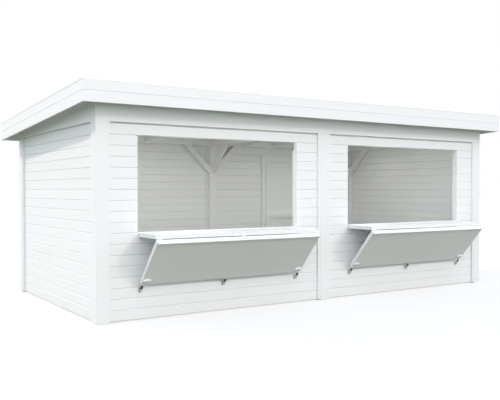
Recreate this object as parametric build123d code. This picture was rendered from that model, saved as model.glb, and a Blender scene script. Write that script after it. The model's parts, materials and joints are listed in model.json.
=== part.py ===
"""Street kiosk: a timber hut with two serving openings, folding counters and a mono-pitch roof.

Lengths are millimetres. X runs along the front, Y runs from front to back and Z is up.
While the pieces are made, y = 0 is the outer face of the front posts; on export everything is
shifted so that the origin is the middle of the whole kiosk's footprint on the ground.
"""
import os
from math import cos, hypot, radians, sin, sqrt

from build123d import *

# Frame of posts and beams
building_width = 6000.0
building_depth = 2900.0
post_side = 120.0
post_chamfer = 3.0
beam_chamfer = 2.0
side_beam_width = 120.0
cross_beam_width = 70.0

# Horizontal board cladding, in courses counted from the ground
wall_recess = 30.0
board_thickness = 28.0
course_height = 115.0
wall_top_gap = 12.0
ground_gap = 13.0
batten_width = 36.0
batten_setback = 4.0
inner_batten_thickness = 15.0

# Serving openings, one in each front bay
opening_margin = 355.0
sill_course = 8
opening_courses = 9
head_courses = 1
frame_member = 45.0
lining_depth = 27.0
stay_depth = 27.0
stay_short_of_head = 95.0

# Folding hatch: a counter hinged on the sill, and a flap hinged on the counter's outer edge
panel_thickness = 45.0
panel_side_clearance = 6.0
sill_hinge_setoff = 8.0
counter_length = 427.0
fold_gap = 14.0
flap_length = 620.0
flap_slope = 49.0
panel_chamfer = 2.0
lip_depth = 14.0
lip_overhang = 12.0
lip_side_inset = 8.0

# Hinges of the hatches
hinge_end_inset = 45.0
hinge_knuckles_count = 3
hinge_knuckle_length = 20.0
hinge_knuckle_gap = 1.0
hinge_knuckle_radius = 6.0
hinge_pin_radius = 3.0
hinge_bore_clearance = 0.3
hinge_leaf_thickness = 2.5
hinge_leaf_reach = 35.0
hinge_gap_to_web = 1.5

# Cup handles on the flap's inner face
handle_span = 92.0
handle_depth = 25.0
handle_rise = 17.0
handle_wall = 3.0
handle_from_free_edge = 46.0
handle_side_margin = 5.0

# Catches on the wall, under the open flap's free edge
catch_width = 34.0
catch_arm_width = 28.0
catch_arm_thickness = 8.0
catch_plate_height = 52.0
catch_plate_thickness = 3.0
catch_barrel_radius = 6.0
catch_clearance = 5.0
catch_reach = 55.0
catch_foot_reach = 20.0
catch_height = 80.0
catch_from_side = 19.0

# Cutters run this far past the faces they cut
cut_overrun = 1.0

# Knee braces
brace_run = 450.0
brace_depth = 90.0
brace_thickness = 45.0
brace_set_in = 75.0

# Back door, in the right-hand back bay
door_frame_width = 1010.0
door_jamb_width = 62.0
door_frame_depth = 60.0
door_head_member = 88.0
wall_over_door = 131.0
door_gap = 6.0
door_threshold_gap = 30.0
door_leaf_thickness = 28.0
door_rail_height = 100.0
door_top_rail_height = 68.0
door_rail_thickness = 22.0
door_stile_width = 50.0
door_stile_inset = 26.0
door_rail_below_stop = 10.0
door_bottom_rail_lift = 26.0
door_middle_rail_level = 960.0
door_stop_gap = 6.0
door_stop_depth = 14.0
door_stop_width = 24.0
door_knuckle_radius = 7.0
door_knuckle_length = 30.0
door_pin_radius = 3.5
door_strap_length = 260.0
door_handle_length = 120.0
door_handle_radius = 8.0
door_handle_standoff = 42.0
door_neck_radius = 6.5
door_plate_width = 36.0
door_plate_height = 150.0
door_plate_thickness = 3.0
door_plate_above_rail = 10.0

# Roof, falling to the back
overhang_side = 198.0
overhang_front = 190.0
overhang_back = 190.0
fascia_above_beam = 164.0
roof_drop = 188.0
fascia_board_height = 115.0
fascia_boards = 2
fascia_thickness = 20.0
fascia_joint_height = 4.0
fascia_joint_depth = 6.0
deck_above_fascia_bottom = 132.0
deck_thickness = 18.0
covering_thickness = 3.0
kerb_width = 40.0
trim_thickness = 3.0
trim_drop = 8.0
trim_reach = 50.0
rafter_width = 45.0
rafter_height = 100.0
rafters_per_bay = 4

# Derived levels and planes
wall_courses = sill_course + opening_courses + head_courses
beam_underside = ground_gap + wall_courses * course_height + wall_top_gap
sill_height = ground_gap + sill_course * course_height
head_height = sill_height + opening_courses * course_height
board_front = wall_recess
board_back = wall_recess + board_thickness
lining_back = board_back + lining_depth
stay_back = lining_back + stay_depth
half_width = building_width / 2
half_post = post_side / 2
bay_inner = half_post
bay_outer = half_width - post_side
opening_inner = bay_inner + opening_margin
opening_outer = bay_outer - opening_margin
opening_width = opening_outer - opening_inner
opening_center = (opening_inner + opening_outer) / 2
bay_center = (bay_inner + bay_outer) / 2
roof_front = -overhang_front
roof_back = building_depth + overhang_back
roof_half = half_width + overhang_side
fascia_front_bottom = beam_underside + fascia_above_beam
roof_fall = roof_drop / (roof_back - roof_front)
fascia_height = fascia_boards * fascia_board_height
deck_top = deck_above_fascia_bottom + deck_thickness
kerb_top = fascia_height - covering_thickness
door_frame_top = beam_underside - wall_over_door
door_head_height = door_frame_top - door_head_member

# Hatch axes, in y and z
hinge_half_span = hinge_knuckles_count * hinge_knuckle_length / 2 + hinge_knuckle_gap
panel_width = opening_width - 2 * panel_side_clearance
sill_axis_y = board_front - sill_hinge_setoff
sill_axis_z = sill_height
fold_axis_y = sill_axis_y - counter_length - fold_gap / 2
fold_axis_z = sill_height - panel_thickness
flap_along_y = cos(radians(flap_slope))
flap_along_z = -sin(radians(flap_slope))
flap_start = fold_gap / 2
flap_end = flap_start + flap_length
lip_tip_y = fold_axis_y + flap_start * flap_along_y + (panel_thickness + lip_overhang) * flap_along_z

# A catch's barrel stays outside the circle that the flap's lowest corner swings through
catch_tip_y = board_front - catch_reach
catch_swing = hypot(flap_end, panel_thickness) + catch_clearance + catch_barrel_radius
catch_tip_z = fold_axis_z - sqrt(catch_swing ** 2 - (catch_tip_y - fold_axis_y) ** 2)
catch_foot_z = catch_tip_z - catch_height

# The origin sits midway between the flaps' foremost edge and the roof trim's back edge
front_face_y = -(lip_tip_y + roof_back + trim_thickness) / 2

parts = {}


def block(x0, x1, y0, y1, z0, z1):
    """Solid box between two corners."""
    size = Box(x1 - x0, y1 - y0, z1 - z0)
    return Pos((x0 + x1) / 2, (y0 + y1) / 2, (z0 + z1) / 2) * size


def prism_along_x(x0, x1, outline):
    """Extrude an outline of (y, z) points from x0 to x1."""
    face = make_face(Polyline(*outline, close=True))
    return extrude(Plane.YZ.offset(x0) * face, amount=x1 - x0)


def rod_along_x(x0, x1, y, z, radius):
    """Round rod parallel to X."""
    return Pos((x0 + x1) / 2, y, z) * Rot(0, 90, 0) * Cylinder(radius, x1 - x0)


def roof_line(y):
    """Height of the fascia's lower edge at a distance y from the front posts."""
    return fascia_front_bottom - (y - roof_front) * roof_fall


def roof_slab(x0, x1, y0, y1, low, high):
    """Slab that follows the roof's fall, between two heights above the fascia's lower edge."""
    outline = [
        (y0, roof_line(y0) + low),
        (y1, roof_line(y1) + low),
        (y1, roof_line(y1) + high),
        (y0, roof_line(y0) + high),
    ]
    return prism_along_x(x0, x1, outline)


def under_deck(x0, x1, y0, y1, z0):
    """Beam with a level underside and a top planed to the deck's fall."""
    outline = [
        (y0, z0),
        (y1, z0),
        (y1, roof_line(y1) + deck_above_fascia_bottom),
        (y0, roof_line(y0) + deck_above_fascia_bottom),
    ]
    return prism_along_x(x0, x1, outline)


def make_posts():
    """Six square posts, at the corners and in the middle of the front and back."""
    columns = {"left": -half_width + half_post, "middle": 0.0, "right": half_width - half_post}
    rows = {"front": half_post, "back": building_depth - half_post}
    for row, y in rows.items():
        for column, x in columns.items():
            post = Pos(x, y, beam_underside / 2) * Box(post_side, post_side, beam_underside)
            post = chamfer(post.edges().filter_by(Axis.Z), post_chamfer)
            parts[f"post_{row}_{column}"] = post


def ease_underside(beam, along):
    """Chamfer the long lower edges of a beam that runs along an axis."""
    return chamfer(beam.edges().filter_by(along).group_by(Axis.Z)[0], beam_chamfer)


def make_beams():
    """Ring of beams on the posts and a cross beam between the middle posts."""
    back_inner = building_depth - post_side
    front = under_deck(-half_width, half_width, 0, post_side, beam_underside)
    back = under_deck(-half_width, half_width, back_inner, building_depth, beam_underside)
    parts["front_beam"] = ease_underside(front, Axis.X)
    parts["back_beam"] = ease_underside(back, Axis.X)
    side_inner = half_width - side_beam_width
    half_cross = cross_beam_width / 2
    spans = {
        "left_beam": (-half_width, -side_inner),
        "right_beam": (side_inner, half_width),
        "cross_beam": (-half_cross, half_cross),
    }
    for name, (x0, x1) in spans.items():
        beam = under_deck(x0, x1, post_side, back_inner, beam_underside)
        parts[name] = ease_underside(beam, Axis.Y)


def brace(foot_x, foot_y, way_x, way_y):
    """One knee brace that rises from a post's face to a beam's underside at 45 degrees."""
    drop = brace_run
    cut = brace_depth * 2 ** 0.5
    outline = [
        (0, beam_underside - drop),
        (drop, beam_underside),
        (drop - cut, beam_underside),
        (0, beam_underside - drop + cut),
    ]
    face = make_face(Polyline(*outline, close=True))
    plane = Plane(origin=(foot_x, foot_y, 0), x_dir=(way_x, way_y, 0), z_dir=(way_y, -way_x, 0))
    return extrude(plane.offset(-brace_thickness / 2) * face, amount=brace_thickness)


def make_braces():
    """Knee braces under the side beams, the back beam and the cross beam."""
    center_in = brace_set_in + brace_thickness / 2
    back_inner = building_depth - post_side
    for side, sign in (("left", -1), ("right", 1)):
        x = sign * (half_width - center_in)
        front = brace(x, post_side, 0, 1)
        back = brace(x, back_inner, 0, -1)
        parts[f"{side}_side_braces"] = Compound(children=[front, back])
    y = building_depth - center_in
    feet = [(-bay_outer, 1), (-bay_inner, -1), (bay_inner, 1), (bay_outer, -1)]
    parts["back_braces"] = Compound(children=[brace(x, y, way, 0) for x, way in feet])
    parts["cross_beam_braces"] = Compound(
        children=[brace(0, post_side, 0, 1), brace(0, back_inner, 0, -1)]
    )


def make_walls():
    """Board walls between the posts, with the openings and the doorway left out of them."""
    side_start = post_side
    side_end = building_depth - post_side
    outer = half_width - board_front
    inner = half_width - board_back
    parts["left_wall"] = block(-outer, -inner, side_start, side_end, ground_gap, beam_underside)
    parts["right_wall"] = block(inner, outer, side_start, side_end, ground_gap, beam_underside)

    for side, sign in (("left", -1), ("right", 1)):
        x0, x1 = sorted((sign * bay_inner, sign * bay_outer))
        wall = block(x0, x1, board_front, board_back, ground_gap, beam_underside)
        x0, x1 = sorted((sign * opening_inner, sign * opening_outer))
        wall -= block(x0, x1, 0, post_side, sill_height, head_height)
        parts[f"front_wall_{side}"] = wall

    y0 = building_depth - board_back
    y1 = building_depth - board_front
    door_left = bay_center - door_frame_width / 2
    door_right = bay_center + door_frame_width / 2
    parts["back_wall_left"] = block(-bay_outer, -bay_inner, y0, y1, ground_gap, beam_underside)
    parts["back_wall_beside_door_left"] = block(bay_inner, door_left, y0, y1, ground_gap, beam_underside)
    parts["back_wall_beside_door_right"] = block(door_right, bay_outer, y0, y1, ground_gap, beam_underside)
    parts["back_wall_over_door"] = block(door_left, door_right, y0, y1, door_frame_top,
                                         beam_underside)


def make_battens():
    """Upright strips over the boards' ends beside each post, and inside along the back wall."""
    y0 = batten_setback
    y1 = board_front
    z0 = ground_gap
    z1 = beam_underside
    battens = []
    for x in (-bay_outer, -bay_inner - batten_width, bay_inner, bay_outer - batten_width):
        battens.append(block(x, x + batten_width, y0, y1, z0, z1))
        battens.append(block(x, x + batten_width, building_depth - y1, building_depth - y0, z0, z1))
        inner = building_depth - board_back - inner_batten_thickness
        battens.append(block(x, x + batten_width, inner, building_depth - board_back, z0, z1))
    for sign in (-1, 1):
        x0, x1 = sorted((sign * (half_width - y0), sign * (half_width - y1)))
        for y in (post_side, building_depth - post_side - batten_width):
            battens.append(block(x0, x1, y, y + batten_width, z0, z1))
    parts["corner_battens"] = Compound(children=battens)


def fold_hinges(center):
    """Middles of the three hinges along a hatch's fold."""
    reach = panel_width / 2 - hinge_end_inset
    return [center - reach, center, center + reach]


def sill_hinges(center):
    """Middles of the two hinges along a hatch's sill."""
    reach = panel_width / 2 - hinge_end_inset
    return [center - reach, center + reach]


def hinge_knuckles(x, own):
    """Spans of a hinge's three knuckles: the outer pair, or the middle one."""
    half = hinge_knuckle_length / 2
    pitch = hinge_knuckle_length + hinge_knuckle_gap
    if own == "middle":
        return [(x - half, x + half)]
    return [(x - pitch - half, x - pitch + half), (x + pitch - half, x + pitch + half)]


def outer_leaf(x, y, z, leaf):
    """Hinge leaf with the two outer knuckles and the pin between them."""
    shape = leaf
    for x0, x1 in hinge_knuckles(x, "outer"):
        shape += rod_along_x(x0, x1, y, z, hinge_knuckle_radius)
    return shape + rod_along_x(x - hinge_half_span, x + hinge_half_span, y, z, hinge_pin_radius)


def middle_knuckle(x, y, z):
    """The middle knuckle, bored for the pin."""
    x0, x1 = hinge_knuckles(x, "middle")[0]
    ring = rod_along_x(x0, x1, y, z, hinge_knuckle_radius)
    bore = hinge_pin_radius + hinge_bore_clearance
    return ring - rod_along_x(x0 - cut_overrun, x1 + cut_overrun, y, z, bore)


def make_opening_frame(side, center):
    """Timber lining behind the boards, its two short stays and the fixed leaves of the hinges."""
    x0 = center - opening_width / 2
    x1 = center + opening_width / 2
    m = frame_member
    ring = block(x0 - m, x1 + m, board_back, lining_back, sill_height - m, head_height + m)
    ring -= block(x0, x1, board_back - cut_overrun, lining_back + cut_overrun, sill_height, head_height)
    stay_top = head_height - stay_short_of_head
    ring += block(x0 - m, x0, lining_back, stay_back, sill_height - m, stay_top)
    ring += block(x1, x1 + m, lining_back, stay_back, sill_height - m, stay_top)
    half = hinge_half_span
    for x in sill_hinges(center):
        leaf_top = sill_height + hinge_leaf_thickness
        for k0, k1 in hinge_knuckles(x, "outer"):
            ring += block(k0, k1, sill_axis_y, board_back, sill_height, leaf_top)
            ring += rod_along_x(k0, k1, sill_axis_y, sill_axis_z, hinge_knuckle_radius)
        ring += block(x - half, x + half, board_front, lining_back, sill_height, leaf_top)
        ring += rod_along_x(x - half, x + half, sill_axis_y, sill_axis_z, hinge_pin_radius)
    parts[f"{side}_opening_frame"] = ring


def make_counter(side, center):
    """Hinged counter: level when open, with knuckles at the sill and at the fold."""
    half = panel_width / 2
    outer_y = sill_axis_y - counter_length
    top = sill_height
    bottom = sill_height - panel_thickness
    panel = block(center - half, center + half, outer_y, sill_axis_y, bottom, top)
    panel = chamfer(panel.edges(), panel_chamfer)
    clear = hinge_knuckle_radius + hinge_knuckle_gap
    for x in sill_hinges(center):
        span = hinge_half_span + hinge_knuckle_gap
        panel -= rod_along_x(x - span, x + span, sill_axis_y, sill_axis_z, clear)
        panel += middle_knuckle(x, sill_axis_y, sill_axis_z)
        k0, k1 = hinge_knuckles(x, "middle")[0]
        web_y = sill_axis_y - hinge_pin_radius - hinge_gap_to_web
        panel += block(k0, k1, web_y - hinge_leaf_reach, web_y, top - hinge_leaf_thickness, top)
    leaf_bottom = bottom - hinge_leaf_thickness
    half_leaf = hinge_half_span
    for x in fold_hinges(center):
        leaf = block(x - half_leaf, x + half_leaf, outer_y, outer_y + hinge_leaf_reach, leaf_bottom, bottom)
        for k0, k1 in hinge_knuckles(x, "outer"):
            leaf += block(k0, k1, fold_axis_y, outer_y, fold_axis_z - hinge_leaf_thickness, fold_axis_z)
        panel += outer_leaf(x, fold_axis_y, fold_axis_z, leaf)
    parts[f"{side}_counter"] = panel


def make_flap(side, center):
    """Folding flap: hangs from the counter's outer edge and slopes back to the wall when open."""
    place = Plane(
        origin=(center, fold_axis_y, fold_axis_z),
        x_dir=(1, 0, 0),
        z_dir=(0, -flap_along_z, flap_along_y),
    ).location
    half = panel_width / 2
    panel = block(-half, half, flap_start, flap_end, -panel_thickness, 0)
    panel = chamfer(panel.edges(), panel_chamfer)
    lip_half = half - lip_side_inset
    lip_low = -panel_thickness - lip_overhang
    lip_start = flap_start + panel_chamfer
    panel += block(-lip_half, lip_half, lip_start, lip_start + lip_depth, lip_low, -panel_thickness)
    for x in fold_hinges(0.0):
        panel += middle_knuckle(x, 0, 0)
        k0, k1 = hinge_knuckles(x, "middle")[0]
        web = hinge_pin_radius + hinge_gap_to_web
        panel += block(k0, k1, web, flap_start, 0, hinge_leaf_thickness)
        half_leaf = hinge_half_span
        reach = flap_start + hinge_leaf_reach
        panel += block(x - half_leaf, x + half_leaf, flap_start, reach, 0, hinge_leaf_thickness)
    parts[f"{side}_flap"] = place * panel

    middle = flap_end - handle_from_free_edge
    reach = half - handle_side_margin - handle_span / 2
    handles = [place * cup_handle(sign * reach, middle) for sign in (-1, 1)]
    parts[f"{side}_flap_handles"] = Compound(children=handles)


def half_round(half, depth, height):
    """Flat-topped solid over an arc, with its straight side on y = 0."""
    arc = ThreePointArc((half, 0), (0, -depth), (-half, 0))
    return extrude(make_face([arc, Line((-half, 0), (half, 0))]), amount=-height)


def cup_handle(x, y):
    """Cup handle: a shell on the flap's inner face, open towards the free edge."""
    half = handle_span / 2
    inner_half = half - handle_wall
    cup = half_round(half, handle_depth, handle_rise)
    cup -= half_round(inner_half, handle_depth - handle_wall, handle_rise - handle_wall)
    return Pos(x, y, -panel_thickness) * cup


def make_catches():
    """Catches on the wall: a foot plate, and a leaning arm with a barrel under the flap's edge."""
    catches = []
    half = catch_width / 2
    arm_half = catch_arm_width / 2
    plate_front = board_front - catch_plate_thickness
    foot_y = board_front - catch_foot_reach
    plate_top = catch_foot_z + catch_plate_height
    arm = [
        (plate_front, catch_foot_z),
        (foot_y, catch_foot_z),
        (catch_tip_y, catch_tip_z),
        (catch_tip_y + catch_arm_thickness, catch_tip_z),
        (foot_y + catch_arm_thickness, catch_foot_z + catch_arm_thickness),
        (plate_front, catch_foot_z + catch_arm_thickness),
    ]
    barrel_y = catch_tip_y + catch_arm_thickness / 2
    reach = panel_width / 2 - catch_from_side
    places = [side * opening_center + step * reach for side in (-1, 1) for step in (-1, 0, 1)]
    for x in places:
        catch = block(x - half, x + half, plate_front, board_front, catch_foot_z, plate_top)
        catch += prism_along_x(x - arm_half, x + arm_half, arm)
        catch += rod_along_x(x - half, x + half, barrel_y, catch_tip_z, catch_barrel_radius)
        catches.append(catch)
    parts["flap_catches"] = Compound(children=catches)


def make_door():
    """Framed board door that opens outwards, in a frame set in the back wall."""
    x0 = bay_center - door_frame_width / 2
    x1 = bay_center + door_frame_width / 2
    y1 = building_depth - board_front
    y0 = y1 - door_frame_depth
    inner0 = x0 + door_jamb_width
    inner1 = x1 - door_jamb_width
    frame = block(x0, x1, y0, y1, ground_gap, door_frame_top)
    frame -= block(inner0, inner1, y0 - cut_overrun, y1 + cut_overrun, 0, door_head_height)
    leaf_inner = y1 - door_leaf_thickness
    stop_outer = leaf_inner - door_stop_gap
    stop_inner = stop_outer - door_stop_depth
    stop = block(inner0, inner1, stop_inner, stop_outer, ground_gap, door_head_height)
    stop -= block(inner0 + door_stop_width, inner1 - door_stop_width, stop_inner - cut_overrun,
                  stop_outer + cut_overrun, 0, door_head_height - door_stop_width)
    frame += stop

    leaf0 = inner0 + door_gap
    leaf1 = inner1 - door_gap
    leaf_top = door_head_height - door_gap
    leaf = block(leaf0, leaf1, leaf_inner, y1, door_threshold_gap, leaf_top)
    rail_inner = leaf_inner - door_rail_thickness
    stile0 = leaf0 + door_stile_inset
    stile1 = leaf1 - door_stile_inset
    half_rail = door_rail_height / 2
    bottom_level = door_threshold_gap + door_bottom_rail_lift + half_rail
    top_level = door_head_height - door_stop_width - door_rail_below_stop - door_top_rail_height / 2
    frame_low = bottom_level - half_rail
    frame_high = top_level + door_top_rail_height / 2
    leaf += block(stile0, stile1, rail_inner, leaf_inner, frame_low, frame_high)
    panels = (
        (bottom_level + half_rail, door_middle_rail_level - half_rail),
        (door_middle_rail_level + half_rail, top_level - door_top_rail_height / 2),
    )
    panel0 = stile0 + door_stile_width
    panel1 = stile1 - door_stile_width
    for low, high in panels:
        leaf -= block(panel0, panel1, rail_inner, leaf_inner, low, high)

    axis_x = inner0 + door_gap / 2
    axis_y = y1 + door_knuckle_radius
    pitch = door_knuckle_length + hinge_knuckle_gap
    half_knuckle = door_knuckle_length / 2
    plate_back = y1 + hinge_leaf_thickness
    bore = door_pin_radius + hinge_bore_clearance
    for level in (bottom_level, top_level):
        for middle in (level - pitch, level + pitch):
            frame += Pos(axis_x, axis_y, middle) * Cylinder(door_knuckle_radius, door_knuckle_length)
        low = level - pitch - half_knuckle
        high = level + pitch + half_knuckle
        plate = block(axis_x - door_jamb_width / 2, axis_x, y1, plate_back, low, high)
        plate -= Pos(axis_x, axis_y, level) * Cylinder(door_knuckle_radius + hinge_knuckle_gap,
                                                       door_knuckle_length + 2 * hinge_knuckle_gap)
        frame += plate
        frame += Pos(axis_x, axis_y, level) * Cylinder(door_pin_radius, 2 * pitch)
        leaf += Pos(axis_x, axis_y, level) * Cylinder(door_knuckle_radius, door_knuckle_length)
        leaf += block(axis_x, axis_x + door_strap_length, y1, plate_back, level - half_knuckle,
                      level + half_knuckle)
        leaf -= Pos(axis_x, axis_y, level) * Cylinder(bore, door_knuckle_length + 2 * hinge_knuckle_gap)
    parts["door_frame"] = frame
    parts["door_leaf"] = leaf

    handle_x = stile1 - door_stile_width / 2
    plate_low = door_middle_rail_level + half_rail + door_plate_above_rail
    handle_z = plate_low + door_plate_height / 2
    handles = []
    for face, way in ((y1, 1), (rail_inner, -1)):
        half_plate = door_plate_width / 2
        near, far = sorted((face, face + way * door_plate_thickness))
        handle = block(handle_x - half_plate, handle_x + half_plate, near, far, plate_low,
                       plate_low + door_plate_height)
        lever_y = face + way * door_handle_standoff
        neck = Cylinder(door_neck_radius, door_handle_standoff)
        handle += Pos(handle_x, face + way * door_handle_standoff / 2, handle_z) * Rot(90, 0, 0) * neck
        handle += rod_along_x(handle_x - door_handle_length, handle_x + door_handle_radius, lever_y,
                              handle_z, door_handle_radius)
        handles.append(handle)
    parts["door_handle"] = Compound(children=handles)


def mitred_ring(outset, width, low, high):
    """Four mitred boards round the roof's edge, between two heights above the fascia's lower edge."""
    x1 = roof_half + outset
    y0 = roof_front - outset
    y1 = roof_back + outset
    plans = {
        "front": [(-x1, y0), (x1, y0), (x1 - width, y0 + width), (-x1 + width, y0 + width)],
        "back": [(-x1, y1), (-x1 + width, y1 - width), (x1 - width, y1 - width), (x1, y1)],
        "left": [(-x1, y0), (-x1 + width, y0 + width), (-x1 + width, y1 - width), (-x1, y1)],
        "right": [(x1, y0), (x1, y1), (x1 - width, y1 - width), (x1 - width, y0 + width)],
    }
    slab = roof_slab(-x1 - width, x1 + width, y0 - width, y1 + width, low, high)
    boards = {}
    for name, plan in plans.items():
        face = make_face(Polyline(*plan, close=True))
        boards[name] = extrude(face, amount=fascia_front_bottom * 2) & slab
    return boards


def closed_ring(outset, width, low, high):
    """The same ring, with its four boards joined at the mitres."""
    front, back, left, right = mitred_ring(outset, width, low, high).values()
    return front + left + right + back


def make_roof():
    """Deck, rafters, fascias, kerb, covering and edge trim of the sloping roof."""
    inset = -fascia_thickness
    x = roof_half - fascia_thickness
    y0 = roof_front + fascia_thickness
    y1 = roof_back - fascia_thickness
    parts["roof_deck"] = roof_slab(-x, x, y0, y1, deck_above_fascia_bottom, deck_top)

    half_joint = fascia_joint_height / 2
    joints = mitred_ring(0, fascia_joint_depth, fascia_board_height - half_joint,
                         fascia_board_height + half_joint)
    for side, board in mitred_ring(0, fascia_thickness, 0, fascia_height).items():
        parts[f"{side}_fascia"] = board - joints[side]

    kerb = mitred_ring(inset, kerb_width, deck_top, kerb_top)
    parts["roof_kerb"] = Compound(children=list(kerb.values()))

    x -= kerb_width
    y0 += kerb_width
    y1 -= kerb_width
    covering = roof_slab(-x, x, y0, y1, deck_top, deck_top + covering_thickness)
    covering += closed_ring(inset - kerb_width, covering_thickness, deck_top, fascia_height)
    covering += closed_ring(inset, kerb_width + covering_thickness, kerb_top, fascia_height)
    parts["roof_covering"] = covering

    trim = closed_ring(trim_thickness, trim_reach, fascia_height, fascia_height + trim_thickness)
    trim += closed_ring(trim_thickness, trim_thickness, fascia_height - trim_drop, fascia_height)
    parts["roof_edge_trim"] = trim

    rafters = []
    half_rafter = rafter_width / 2
    rafter_bottom = deck_above_fascia_bottom - rafter_height
    pitch = (bay_outer - cross_beam_width / 2) / (rafters_per_bay + 1)
    for sign in (-1, 1):
        for number in range(1, rafters_per_bay + 1):
            x = sign * (cross_beam_width / 2 + number * pitch)
            rafters.append(roof_slab(x - half_rafter, x + half_rafter, post_side,
                                     building_depth - post_side, rafter_bottom,
                                     deck_above_fascia_bottom))
    parts["rafters"] = Compound(children=rafters)


make_posts()
make_beams()
make_braces()
make_walls()
make_battens()
for side_name, side_sign in (("left", -1), ("right", 1)):
    make_opening_frame(side_name, side_sign * opening_center)
    make_counter(side_name, side_sign * opening_center)
    make_flap(side_name, side_sign * opening_center)
make_catches()
make_door()
make_roof()

os.makedirs("parts", exist_ok=True)
for node, shape in parts.items():
    solids = [Pos(0, front_face_y, 0) * solid for solid in shape.solids()]
    placed = solids[0] if len(solids) == 1 else Compound(solids)
    export_step(placed, f"parts/{node}.step")
    print(node, round(shape.volume / 1e6, 3), "litres")
print("front face at y", round(front_face_y, 2))
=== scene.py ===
"""Looks of a timber street kiosk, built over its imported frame.

Lengths are metres in the frame's own axes: X along the front, Y from the front to the back and Z up.
"""

import json
import logging
from dataclasses import dataclass
from enum import Enum
from math import atan, cos, degrees, radians, sin
from typing import Any, Callable, Iterable, Iterator, Optional, Protocol, Union

import bmesh
import bpy
from bpy.types import Material, Node, NodeSocket, Object, World
from mathutils import Matrix, Vector


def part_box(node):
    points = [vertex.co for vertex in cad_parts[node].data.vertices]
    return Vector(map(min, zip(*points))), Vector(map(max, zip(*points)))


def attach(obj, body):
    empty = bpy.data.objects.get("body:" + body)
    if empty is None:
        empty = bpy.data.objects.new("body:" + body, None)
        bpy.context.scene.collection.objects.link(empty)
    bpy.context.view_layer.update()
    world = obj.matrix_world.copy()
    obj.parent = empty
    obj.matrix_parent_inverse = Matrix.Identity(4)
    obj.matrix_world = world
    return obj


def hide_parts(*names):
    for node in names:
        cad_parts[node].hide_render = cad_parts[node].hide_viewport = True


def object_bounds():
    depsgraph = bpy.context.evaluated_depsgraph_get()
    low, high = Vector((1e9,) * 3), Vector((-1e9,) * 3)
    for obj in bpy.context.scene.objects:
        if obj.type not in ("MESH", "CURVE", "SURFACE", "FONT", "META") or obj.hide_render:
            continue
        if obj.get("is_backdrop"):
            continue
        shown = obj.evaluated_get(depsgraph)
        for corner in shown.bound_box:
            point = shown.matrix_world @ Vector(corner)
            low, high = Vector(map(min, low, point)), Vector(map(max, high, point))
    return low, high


Colour = tuple[float, float, float]
Place = tuple[float, float, float]
Test = Callable[[Any], bool]

WHITE: Colour = (1.0, 1.0, 1.0)
EVEN: Place = (1.0, 1.0, 1.0)

# Points nearer than this are on one level, and directions whose cosine is over this are the same.
NEAR = 1e-5
SAME_WAY = 0.999

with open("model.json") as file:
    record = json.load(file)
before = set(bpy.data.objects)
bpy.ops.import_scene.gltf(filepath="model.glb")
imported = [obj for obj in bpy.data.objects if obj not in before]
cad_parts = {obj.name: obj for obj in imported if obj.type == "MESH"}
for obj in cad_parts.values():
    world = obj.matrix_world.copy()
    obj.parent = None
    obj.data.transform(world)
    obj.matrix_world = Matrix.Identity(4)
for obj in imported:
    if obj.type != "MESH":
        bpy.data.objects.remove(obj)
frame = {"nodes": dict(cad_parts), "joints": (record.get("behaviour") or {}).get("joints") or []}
cad_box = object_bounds()
log = logging.getLogger("kiosk")


class Way(Enum):
    """An axis of the frame, as the direction that a piece runs in."""

    X = (1.0, 0.0, 0.0)
    Y = (0.0, 1.0, 0.0)
    Z = (0.0, 0.0, 1.0)

    @property
    def vector(self) -> Vector:
        """The axis as a vector."""
        return Vector(self.value)


class Element(Enum):
    """What is selected in edit mode."""

    EDGE = "EDGE"
    FACE = "FACE"


class Side(Enum):
    """A bay of the kiosk, as seen from the front."""

    LEFT = "left"
    RIGHT = "right"


class Value:
    """A number given by a socket, with Python's own arithmetic on it."""

    def __init__(self, shader: "NodeTree", socket: NodeSocket) -> None:
        """Wrap one output socket of a node tree."""
        self.shader = shader
        self.socket = socket

    def _math(self, operation: str, first: "Operand", second: "Operand" = 0.0) -> "Value":
        """Add a Math node.

        Args:
            operation: Name of the Math node's operation.
            first: First operand.
            second: Second operand.

        Returns:
            The node's result.
        """
        node = self.shader.node("ShaderNodeMath", {"operation": operation}, {0: first, 1: second})
        return Value(self.shader, node.outputs[0])

    def __add__(self, other: "Operand") -> "Value":
        """Return self + other."""
        return self._math("ADD", self, other)

    def __radd__(self, other: "Operand") -> "Value":
        """Return other + self."""
        return self._math("ADD", other, self)

    def __sub__(self, other: "Operand") -> "Value":
        """Return self - other."""
        return self._math("SUBTRACT", self, other)

    def __rsub__(self, other: "Operand") -> "Value":
        """Return other - self."""
        return self._math("SUBTRACT", other, self)

    def __mul__(self, other: "Operand") -> "Value":
        """Return self * other."""
        return self._math("MULTIPLY", self, other)

    def __truediv__(self, other: "Operand") -> "Value":
        """Return self / other."""
        return self._math("DIVIDE", self, other)

    def floor(self) -> "Value":
        """Return the whole number below."""
        return self._math("FLOOR", self)

    def fade(self, start: float, end: float) -> "Value":
        """Rise smoothly from 0 at start to 1 at end.

        Args:
            start: Value at which the result is 0.
            end: Value at which the result is 1.

        Returns:
            The smoothed share.
        """
        settings = {"interpolation_type": "SMOOTHSTEP"}
        inputs = {"Value": self, "From Min": start, "From Max": end}
        return Value(self.shader, self.shader.node("ShaderNodeMapRange", settings, inputs).outputs[0])


Operand = Union[Value, float]


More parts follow.
